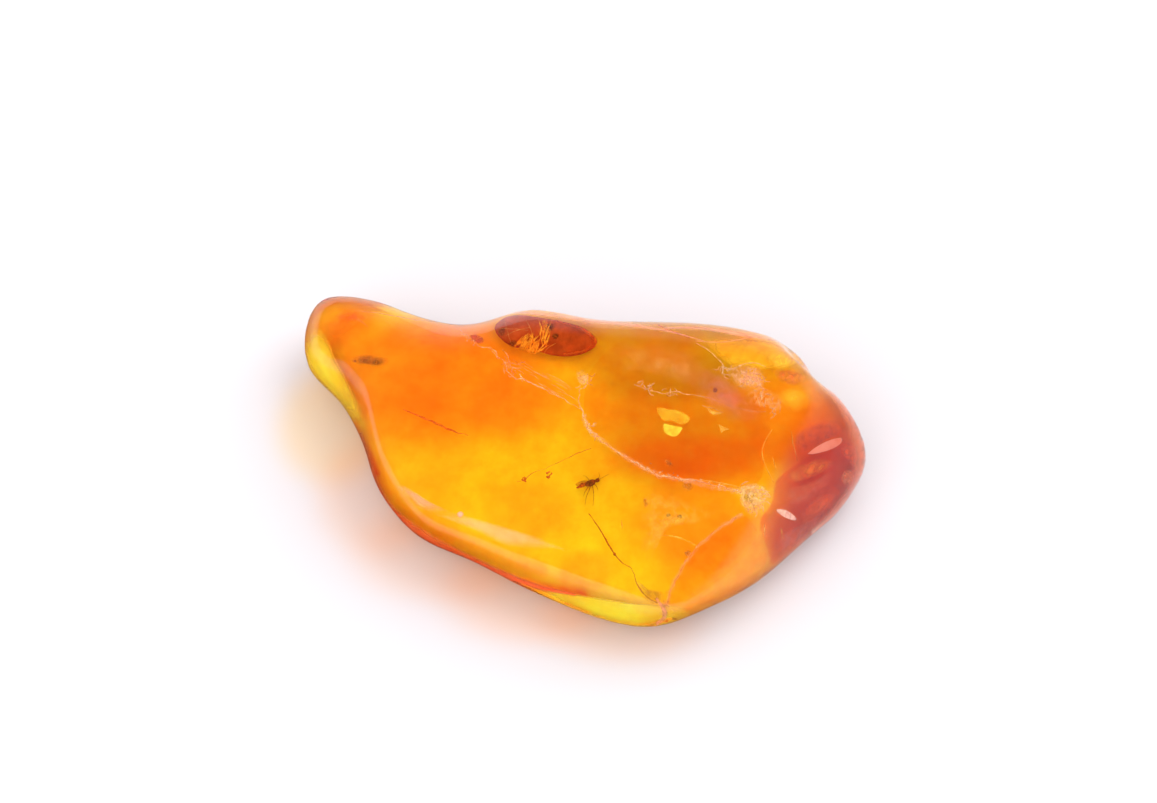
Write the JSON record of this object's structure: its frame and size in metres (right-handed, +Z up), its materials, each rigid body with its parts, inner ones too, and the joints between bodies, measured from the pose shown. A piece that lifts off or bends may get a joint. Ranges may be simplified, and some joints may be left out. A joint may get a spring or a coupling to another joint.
{
  "type": "insect in amber",
  "caption": "Polished lump of clear orange amber with a gnat, a plant hair, a bud scale and a bark crumb sealed inside, resting on its flat underside.",
  "frame": {"origin": "on the underside that the stone rests on, at the middle of the stone's length and width", "axes": "+X along the stone from its narrow nose to its blunt end, +Y towards the back, where the bud scale lies, +Z up"},
  "size_m": [0.0449, 0.0289, 0.0122],
  "materials": {
    "amber": "clear orange resin, hand polished to a gloss",
    "chitin": "dark red-brown insect cuticle",
    "plant_fibre": "brown plant hair",
    "bud_husk": "red-brown papery husk",
    "bark": "dark brown rotted bark"
  },
  "bodies": {
    "root": {"amber_upper_half": "amber", "amber_lower_half": "amber", "gnat": "chitin", "plant_hair": "plant_fibre", "bud_scale": "bud_husk", "bark_crumb": "bark"}
  },
  "joints": []
}
